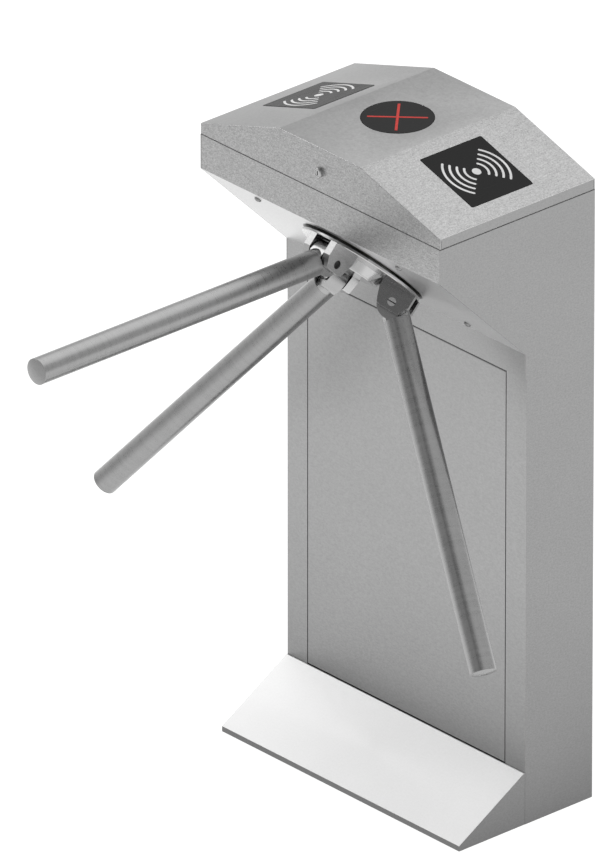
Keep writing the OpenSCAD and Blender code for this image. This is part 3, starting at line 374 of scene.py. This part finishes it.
def glossy_panel(name, color, roughness):
    """Acrylic window: smooth and dark, with faint dust and wiping marks."""
    finish = Finish(name, (*color, 1), ior=1.49, specular=0.035)
    dust = finish.noise("dust")
    pale = [share + DUST_PALER for share in color]
    finish.drive("color", finish.blend(finish.spread(dust, 0, 1, DUST_SPAN), (*color, 1), (*pale, 1)))
    finish.roughen(finish.noise("wiping"), roughness, less=0.04, more=0.06)
    finish.bump(dust, DUST_DEPTH)
    return finish.material


def red_light(name):
    """Translucent red light bar, evenly lit from below."""
    middle = (0.48, 0.03, 0.025, 1)
    dim = (0.42, 0.025, 0.02, 1)
    bright = (0.54, 0.04, 0.032, 1)
    finish = Finish(name, middle, specular=0.1, glow_strength=0.16)
    cells = finish.noise("light_cells")
    lit = finish.blend(finish.spread(cells, 0, 1), dim, bright)
    finish.drive("color", lit)
    finish.drive("glow", lit)
    finish.roughen(cells, 0.33)
    return finish.material


def circuit_board(name):
    """Green solder mask over copper tracks."""
    middle = (0.03, 0.16, 0.07, 1)
    bare = (0.02, 0.12, 0.05, 1)
    track = (0.05, 0.24, 0.1, 1)
    finish = Finish(name, middle, specular=0.5)
    cells = finish.noise("board_cells")
    tracks = finish.spread(cells, 0, 1, TRACK_SPAN)
    finish.drive("color", finish.blend(tracks, bare, track))
    finish.roughen(cells, 0.35, less=0.07, more=0.07)
    finish.bump(tracks, TRACK_DEPTH)
    return finish.material


# The finish of each of the record's material slots, apart from the arms'
SLOT_FINISHES = {
    "cabinet_steel": (brushed, dict(tone=0.378, foot_shade=FOOT_SHADE)),
    "lid_steel": (brushed, dict(tone=0.350)),
    # Painted light: the foot cover's steel is nearly twice as light as the cabinet's, so that its top
    # looks lit
    "foot_steel": (brushed, dict(tone=0.71, roughness=0.48, contrast=0.05)),
    "root_steel": (polished, dict(tone=0.42, roughness=0.22)),
    "hub_steel": (turned, dict(tone=0.52, roughness=0.18, contrast=0.03)),
    # Painted shade: the pins' steel is very dark, so that their sockets look deep
    "pin_steel": (turned, dict(tone=0.10, roughness=0.35)),
    "floor_steel": (cast, dict(tone=0.42, roughness=0.45)),
    "zinc_steel": (cast, dict(tone=0.55, roughness=0.32, depth=PLATED_DEPTH)),
    "plate_steel": (cast, dict(tone=0.08, roughness=0.45, metallic=0.0)),
    "machined_steel": (turned, dict(tone=0.48, roughness=0.25)),
    "cast_aluminium": (cast, dict(tone=0.50, roughness=0.40)),
    "bearing_steel": (polished, dict(tone=0.62, roughness=0.12)),
    "gear_brass": (cast, dict(tone=0.45, roughness=0.30, warmth=0.35, depth=SMOOTH_DEPTH)),
    "coil_metal": (cast, dict(tone=0.16, roughness=0.35, metallic=0.3, warmth=0.45)),
    "damper_black": (cast, dict(tone=0.03, roughness=0.40, metallic=0.0)),
    "black_glass": (glossy_panel, dict(color=(0.023, 0.023, 0.023), roughness=0.22)),
    "red_light": (red_light, {}),
    "black_plastic": (plastic, dict(color=(0.03, 0.03, 0.03), roughness=0.45)),
    "grey_plastic": (plastic, dict(color=(0.22, 0.22, 0.23), roughness=0.5)),
    "rubber": (plastic, dict(color=(0.02, 0.02, 0.02), roughness=0.8, depth=RUBBER_DEPTH)),
    "lock_chrome": (polished, dict(tone=0.46, roughness=0.20)),
    "board_green": (circuit_board, {}),
    "supply_metal": (cast, dict(tone=0.55, roughness=0.35, depth=SMOOTH_DEPTH)),
}


def own_finishes():
    """Finishes of the nodes that differ from their slot: the door, the underside's screws, the arms."""
    own = {
        # The door's copy paints the seam's shade along the door's top edge, and the floor's shade at
        # its foot
        "front_panel": brushed(
            "door_steel",
            tone=0.378,
            foot_shade=FOOT_SHADE,
            seam_z=DOOR_SEAM_Z,
            seam_width=DOOR_SEAM_WIDTH,
        ),
        "underside_screws": turned("screw_steel", tone=0.30, roughness=0.35),
    }
    for number in ARMS:
        axis = arm_axis(number)[1]
        finish = turned(f"arm_steel_{number}", tone=0.335, roughness=0.30, contrast=0.09, axis=axis)
        own[f"arm_tube_{number}"] = finish
        own[f"arm_cap_{number}"] = finish
    return own


def paint_frame():
    """Gives each CAD node its slot's finish or its own."""
    finishes = {slot: kind(slot, **settings) for slot, (kind, settings) in SLOT_FINISHES.items()}
    own = own_finishes()
    slots = {part["node"]: part["material_slot"] for part in frame["record"]["subparts"]}
    for name, node in frame["nodes"].items():
        node.data.materials.clear()
        node.data.materials.append(own[name] if name in own else finishes[slots[name]])


# How nearly a face's normal points along a direction, 1 being exactly, for the face to count
FLAT = 0.9
FLAT_LIP = 0.95
FLAT_EAR_END = 0.95
FLAT_EAR_SIDE = 0.97
ROOF_LEAN = 0.2
ROOF_RISE = 0.8

# Where the hub's ears look: the flat ends of the first arm's, and the side of the third arm's
EAR_END = Vector((0, -0.707, 0.707))
EAR_SIDE = Vector((0.51, -0.61, 0.61))

# How far behind the outermost of its faces the slotted end of a pin still shines
SLOT_SHINE_DEPTH = 0.3 * MM


def facing(direction, closeness=FLAT):
    """A test of whether a face looks along a direction."""
    return lambda face: face.normal.dot(direction) > closeness


def roof(side):
    """A test of whether a face is the roof's slope on that side, 1 being right and -1 left."""
    return lambda face: face.normal.x * side > ROOF_LEAN and face.normal.z > ROOF_RISE


def repaint(name, finish, chosen):
    """Gives a finish to the chosen faces of a node."""
    mesh = frame["nodes"][name].data
    mesh.materials.append(finish)
    for face in mesh.polygons:
        if chosen(face):
            face.material_index = len(mesh.materials) - 1


def paint_light_and_shade_on_sheets():
    """Painted light and shade: each face of the folded sheets gets a lighter or darker copy of the
    steel by how it meets the light, lighter on both roof slopes, the fronts and the underside, darker
    on the sides and the foot's lip, with the grain painted stronger on the right slope and the fronts.
    """
    lit_roof_steel = brushed("lit_roof_steel", tone=0.372, roughness=0.36, contrast=0.45, grain_size=0.65)
    lit_slope_steel = brushed("lit_slope_steel", tone=0.41)
    shaded_side_steel = brushed("shaded_side_steel", tone=0.320, foot_shade=SIDE_FOOT_SHADE)
    lit_front_steel = brushed("lit_front_steel", tone=0.410, contrast=0.5, grain_size=0.7)
    lit_underside_steel = brushed("lit_underside_steel", tone=0.62, roughness=0.34, paint_hub_shade=True)
    shaded_lip_steel = brushed("shaded_lip_steel", tone=0.18, roughness=0.40)
    in_front = facing(FRONT)
    repaint("lid_shell", lit_roof_steel, roof(1))
    repaint("lid_shell", lit_slope_steel, roof(-1))
    for name in ("lid_shell", "side_panel_left", "side_panel_right", "foot_cover"):
        repaint(name, shaded_side_steel, lambda face: abs(face.normal.x) > FLAT)
    repaint("lid_shell", lit_front_steel, in_front)
    repaint("front_cowl", lit_underside_steel, facing(ROTOR_AXIS))
    repaint("front_cowl", lit_front_steel, lambda face: in_front(face) and face.center.z > ROTOR.z)
    repaint("foot_cover", shaded_lip_steel, facing(FRONT, FLAT_LIP))


def paint_pins_and_socket_shade():
    """The pins' slotted ends get bright polished steel; the rest of each pin keeps its slot's very dark
    steel, painted shade that makes the sockets at their other ends look deep.
    """
    slot_steel = polished("slot_steel", tone=0.75, roughness=0.22)
    axes = [Vector(joint(f"arm_drop_{number}")["axis"]) for number in ARMS]
    # The second arm's joint turns the other way about its pin
    axes[1].negate()
    for axis in axes:
        slotted = facing(-axis)
        ends = [face for face in frame["nodes"]["pivot_pins"].data.polygons if slotted(face)]
        limit = min(face.center.dot(axis) for face in ends) + SLOT_SHINE_DEPTH
        repaint("pivot_pins", slot_steel, lambda face: slotted(face) and face.center.dot(axis) < limit)


def paint_shade_on_ears():
    """Painted shade: the first arm's ear ends and the third arm's ear side get darker copies of the
    hub's steel.
    """
    shaded_ear_end_steel = polished("shaded_ear_end_steel", tone=0.40, roughness=0.24)
    shaded_ear_flank_steel = polished("shaded_ear_flank_steel", tone=0.29, roughness=0.24)
    repaint("rotor_hub", shaded_ear_end_steel, facing(EAR_END, FLAT_EAR_END))
    repaint("rotor_hub", shaded_ear_flank_steel, facing(EAR_SIDE, FLAT_EAR_SIDE))


# Edges: a small round on every corner catches the light as a real fold or turned edge does

EDGE_WIDTHS = {
    "lid_shell": 1.4 * MM,
    "side_panel_left": 0.5 * MM,
    "side_panel_right": 0.5 * MM,
    "back_panel": 0.4 * MM,
    "front_cowl": 0.5 * MM,
    "front_panel": 0.15 * MM,
    "foot_cover": 0.5 * MM,
    "rotor_hub": 0.6 * MM,
    "arm_root_1": 0.8 * MM,
    "arm_root_2": 0.8 * MM,
    "arm_root_3": 0.8 * MM,
}
SMALL_EDGE = 0.25 * MM
EDGE_ANGLE = math.radians(28)
EDGE_SEGMENTS = 2
SAME_POINT = 0.005 * MM
SAME_PLANE = math.radians(0.2)
FACE_WEIGHT = 100


def round_edges():
    """Joins the triangles of each flat face, rounds the edges, and lets large faces shade flat."""
    for name, node in frame["nodes"].items():
        weld = node.modifiers.new("weld", "WELD")
        weld.merge_threshold = SAME_POINT
        flat = node.modifiers.new("flat", "DECIMATE")
        flat.decimate_type = "DISSOLVE"
        flat.angle_limit = SAME_PLANE
        flat.delimit = {"MATERIAL"}
        bevel = node.modifiers.new("edge", "BEVEL")
        bevel.width = EDGE_WIDTHS.get(name, SMALL_EDGE)
        bevel.segments = EDGE_SEGMENTS
        bevel.limit_method = "ANGLE"
        bevel.angle_limit = EDGE_ANGLE
        bevel.use_clamp_overlap = True
        if name == "lid_shell":
            # Painted highlight: the lid's folds get a far lighter, glossier copy of its steel, so that
            # they shine as bright lines
            node.data.materials.append(polished("highlight_edge_steel", tone=0.95, roughness=0.14))
            bevel.material = len(node.data.materials) - 1
        for face in node.data.polygons:
            face.use_smooth = True
        even = node.modifiers.new("even", "WEIGHTED_NORMAL")
        even.keep_sharp = False
        even.weight = FACE_WEIGHT


def add_piece(name, shape, place, finish):
    """A new object of the scene from a shape under construction, brought to its place."""
    bmesh.ops.recalc_face_normals(shape, faces=shape.faces)
    mesh = bpy.data.meshes.new(name)
    shape.to_mesh(mesh)
    shape.free()
    mesh.transform(place)
    mesh.materials.append(finish)
    piece = bpy.data.objects.new(name, mesh)
    bpy.context.scene.collection.objects.link(piece)
    return piece


def ring_points(radius, steps):
    """Points evenly round a circle."""
    turns = [2 * math.pi * i / steps for i in range(steps)]
    return [Vector((radius * math.cos(turn), radius * math.sin(turn))) for turn in turns]


# Reader symbols: a dot between two fans of arcs, printed in white on each window

DOT_R = 6.5 * MM
DOT_STEPS = 48
ARC_RADII = [17 * MM, 27 * MM, 37 * MM, 47 * MM]
ARC_HALF_TURN = math.radians(45)
ARC_STROKE = 3.4 * MM
ARC_STEPS = 24
END_STEPS = 6
PRINT_THICKNESS = 0.12 * MM

# How far up the normals of a window's top faces point at least, 1 being upright
WINDOW_TOP_RISE = 0.5


def arc_outline(radius, middle):
    """An arc with round ends, as a closed outline, centred on the direction middle."""
    half = ARC_STROKE / 2
    points = []
    for side, r in ((1, radius + half), (-1, radius - half)):
        for i in range(ARC_STEPS + 1):
            turn = middle + side * ARC_HALF_TURN * (2 * i / ARC_STEPS - 1)
            points.append(Vector((r * math.cos(turn), r * math.sin(turn))))
        end = middle + side * ARC_HALF_TURN
        centre = Vector((radius * math.cos(end), radius * math.sin(end)))
        for i in range(1, END_STEPS):
            turn = end + (0 if side > 0 else math.pi) + math.pi * i / END_STEPS
            points.append(centre + half * Vector((math.cos(turn), math.sin(turn))))
    return points


def print_symbol(name, outlines, place, ink):
    """Flat printed figures, a little proud of the surface that place puts them on."""
    shape = bmesh.new()
    for outline in outlines:
        face = shape.faces.new([shape.verts.new((point.x, point.y, 0)) for point in outline])
        face.normal_update()
        raised = bmesh.ops.extrude_face_region(shape, geom=[face])["geom"]
        bmesh.ops.translate(
            shape,
            verts=[part for part in raised if isinstance(part, bmesh.types.BMVert)],
            vec=(0, 0, PRINT_THICKNESS),
        )
    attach(add_piece(name, shape, place, ink), "lid")


def print_reader_symbols():
    """One symbol on each reader window, its fans facing the front and the back."""
    white = (0.80, 0.80, 0.80)
    ink = plastic("white_print", white, roughness=0.45, depth=PRINT_DEPTH)
    outlines = [ring_points(DOT_R, DOT_STEPS)]
    for middle in (math.pi / 2, -math.pi / 2):
        outlines += [arc_outline(radius, middle) for radius in ARC_RADII]
    windows = frame["nodes"]["reader_windows"].data
    for side, label in ((1, "right"), (-1, "left")):
        top = [f for f in windows.polygons if f.normal.z > WINDOW_TOP_RISE and f.center.x * side > 0]
        normal = top[0].normal.copy()
        corners = [windows.vertices[i].co for face in top for i in face.vertices]
        low = Vector([min(corner[i] for corner in corners) for i in range(3)])
        high = Vector([max(corner[i] for corner in corners) for i in range(3)])
        back = -FRONT
        axes = Matrix((back.cross(normal), back, normal)).transposed().to_4x4()
        place = Matrix.Translation((low + high) / 2) @ axes
        print_symbol(f"reader_symbol_{label}", outlines, place, ink)


# Arm ends: the caps bulge a little, where those of the frame are dished

CAP_DOME = 2.3 * MM
CAP_LIP = 0.5 * MM
CAP_FLANGE = 3.0 * MM
CAP_SPIGOT = 12.0 * MM
CAP_SPIGOT_SHARE = 0.8
DOME_RINGS = 10
LIP_RINGS = 4
CAP_STEPS = 72


def cap_profile(radius):
    """Half of the cap's section, as distances from its axis and from its outer end."""
    mouth = radius - CAP_LIP
    points = []
    for i in range(1, DOME_RINGS + 1):
        share = i / DOME_RINGS
        points.append((mouth * share, -CAP_DOME * share ** 2))
    for i in range(1, LIP_RINGS + 1):
        turn = math.pi / 2 * (1 - i / LIP_RINGS)
        drop = CAP_DOME + CAP_LIP * (1 - math.sin(turn))
        points.append((mouth + CAP_LIP * math.cos(turn), -drop))
    spigot = CAP_SPIGOT_SHARE * radius
    points += [(radius, -CAP_FLANGE), (spigot, -CAP_FLANGE), (spigot, -CAP_FLANGE - CAP_SPIGOT)]
    return points


def domed_cap(number):
    """The cap of one arm, turned from its profile and put where the frame's cap ends."""
    node = frame["nodes"][f"arm_cap_{number}"]
    pivot, axis = arm_axis(number)
    offsets = [vertex.co - pivot for vertex in node.data.vertices]
    reach = max(offset.dot(axis) for offset in offsets)
    profile = cap_profile(max((offset - axis * offset.dot(axis)).length for offset in offsets))
    shape = bmesh.new()
    rings = []
    for radius, z in profile:
        rings.append([shape.verts.new((p.x, p.y, z)) for p in ring_points(radius, CAP_STEPS)])
    for inner, outer in zip(rings, rings[1:]):
        for i in range(CAP_STEPS):
            j = (i + 1) % CAP_STEPS
            shape.faces.new((inner[i], inner[j], outer[j], outer[i]))
    for ring, z in ((rings[0], 0), (rings[-1], profile[-1][1])):
        middle = shape.verts.new((0, 0, z))
        for i in range(CAP_STEPS):
            shape.faces.new((middle, ring[i], ring[(i + 1) % CAP_STEPS]))
    turn = UP.rotation_difference(axis).to_matrix().to_4x4()
    place = Matrix.Translation(pivot + axis * reach) @ turn
    piece = add_piece(f"domed_cap_{number}", shape, place, node.data.materials[0])
    piece.data.shade_smooth()
    piece.data.set_sharp_from_angle(angle=EDGE_ANGLE)
    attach(piece, f"arm_{number}")
    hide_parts(node.name)


def cap_arms():
    for number in ARMS:
        domed_cap(number)


# Camera: the photograph is close to a parallel view, so the lens is long and far away

AZIMUTH = math.radians(48.09)
ELEVATION = math.radians(26.44)
LENS = 1200.0
SENSOR = 36.0
IMAGE_H = 856
MM_PER_PIXEL = 1.3478
OBJECT_MIDDLE = Vector((0, -18.5 * MM, 490 * MM))
NEAR_LIMIT = 1.0
FAR_LIMIT_DISTANCES = 3

# Where the photograph's middle lies from the object's, in pixels right and up
MIDDLE_RIGHT = -92.0
MIDDLE_UP = 16.5


def make_camera():
    back = Vector((
        math.sin(AZIMUTH) * math.cos(ELEVATION),
        -math.cos(AZIMUTH) * math.cos(ELEVATION),
        math.sin(ELEVATION),
    ))
    right = Vector((math.cos(AZIMUTH), math.sin(AZIMUTH), 0))
    up = back.cross(right)
    pixel = MM_PER_PIXEL * MM
    target = OBJECT_MIDDLE + right * MIDDLE_RIGHT * pixel + up * MIDDLE_UP * pixel
    distance = IMAGE_H * pixel * LENS / SENSOR
    data = bpy.data.cameras.new("camera")
    data.lens = LENS
    data.sensor_width = SENSOR
    data.clip_start = NEAR_LIMIT
    data.clip_end = FAR_LIMIT_DISTANCES * distance
    camera = bpy.data.objects.new("camera", data)
    view = Matrix((right, up, back)).transposed().to_4x4()
    camera.matrix_world = Matrix.Translation(target + back * distance) @ view
    bpy.context.scene.collection.objects.link(camera)
    bpy.context.scene.camera = camera


# Floor: pale and glowing, less so in front of the object

FLOOR_HALF = 60.0
FLOOR_TONE = 0.22
FLOOR_MOTTLE = 0.01
FLOOR_GLOW = 0.92
FLOOR_DIM_GLOW = 0.55
FLOOR_DIM_SPAN = (-2.2, -1.1)


def make_floor():
    half = FLOOR_HALF
    mesh = bpy.data.meshes.new("floor")
    corners = [(-half, -half, 0), (half, -half, 0), (half, half, 0), (-half, half, 0)]
    mesh.from_pydata(corners, [], [(0, 1, 2, 3)])
    finish = Finish("floor_paint", grey(FLOOR_TONE), glow=grey(1.0))
    mottle = finish.noise("mottle")
    finish.drive(
        "color",
        finish.blend(mottle, grey(FLOOR_TONE - FLOOR_MOTTLE), grey(FLOOR_TONE + FLOOR_MOTTLE)),
    )
    depth = finish.node("ShaderNodeSeparateXYZ", Vector=finish.place).outputs["Y"]
    finish.drive("glow_strength", finish.spread(depth, FLOOR_DIM_GLOW, FLOOR_GLOW, FLOOR_DIM_SPAN))
    finish.roughen(mottle, 0.75)
    mesh.materials.append(finish.material)
    floor = bpy.data.objects.new("floor", mesh)
    bpy.context.scene.collection.objects.link(floor)


# Walls of the studio: their light, and the patches where they are brighter or dimmer. Each patch
# has a direction, the angles from it at which it begins and is full, and what it adds.

WALL_LIGHT = 0.80
WALL_PATCHES = [
    ((-0.13, 0.60, 0.79), 44, 6, 0.72),
    ((0.33, -0.59, 0.74), 24, 8, -0.42),
    ((-0.25, -0.87, 0.40), 52, 8, -0.38),
    ((0.80, 0.58, 0.15), 45, 10, -0.12),
]


def light_walls():
    world = bpy.data.worlds.new("studio")
    world.use_nodes = True
    tree = world.node_tree
    direction = tree.nodes.new("ShaderNodeTexCoord").outputs["Generated"]
    light = None
    for towards, begins, full, amount in WALL_PATCHES:
        nearness = tree.nodes.new("ShaderNodeVectorMath")
        nearness.operation = "DOT_PRODUCT"
        nearness.inputs[1].default_value = Vector(towards).normalized()
        tree.links.new(direction, nearness.inputs[0])
        patch = tree.nodes.new("ShaderNodeMapRange")
        patch.interpolation_type = "SMOOTHSTEP"
        patch.inputs["From Min"].default_value = math.cos(math.radians(begins))
        patch.inputs["From Max"].default_value = math.cos(math.radians(full))
        patch.inputs["To Max"].default_value = amount
        tree.links.new(nearness.outputs["Value"], patch.inputs["Value"])
        total = tree.nodes.new("ShaderNodeMath")
        total.inputs[0].default_value = WALL_LIGHT
        if light:
            tree.links.new(light, total.inputs[0])
        tree.links.new(patch.outputs["Result"], total.inputs[1])
        light = total.outputs["Value"]
    sky = tree.nodes["Background"]
    sky.inputs["Color"].default_value = grey(1.0)
    tree.links.new(light, sky.inputs["Strength"])
    bpy.context.scene.world = world


# Key light: a large soft box high on the left, seen from the object's middle

KEY_TOWARDS = Vector((-0.68, -0.28, 0.68))
KEY_DISTANCE = 8.0
KEY_SIDE = 4.4
KEY_POWER = 104


def add_key_light():
    data = bpy.data.lights.new("key", "AREA")
    data.shape = "RECTANGLE"
    data.size = KEY_SIDE
    data.size_y = KEY_SIDE
    data.energy = KEY_POWER
    light = bpy.data.objects.new("key", data)
    direction = KEY_TOWARDS.normalized()
    light.location = OBJECT_MIDDLE + direction * KEY_DISTANCE
    light.rotation_mode = "QUATERNION"
    light.rotation_quaternion = direction.to_track_quat("Z", "Y")
    bpy.context.scene.collection.objects.link(light)


paint_frame()
paint_light_and_shade_on_sheets()
paint_pins_and_socket_shade()
paint_shade_on_ears()
round_edges()
print_reader_symbols()
cap_arms()
make_floor()
light_walls()
add_key_light()
make_camera()
bpy.context.scene.view_settings.view_transform = "Standard"
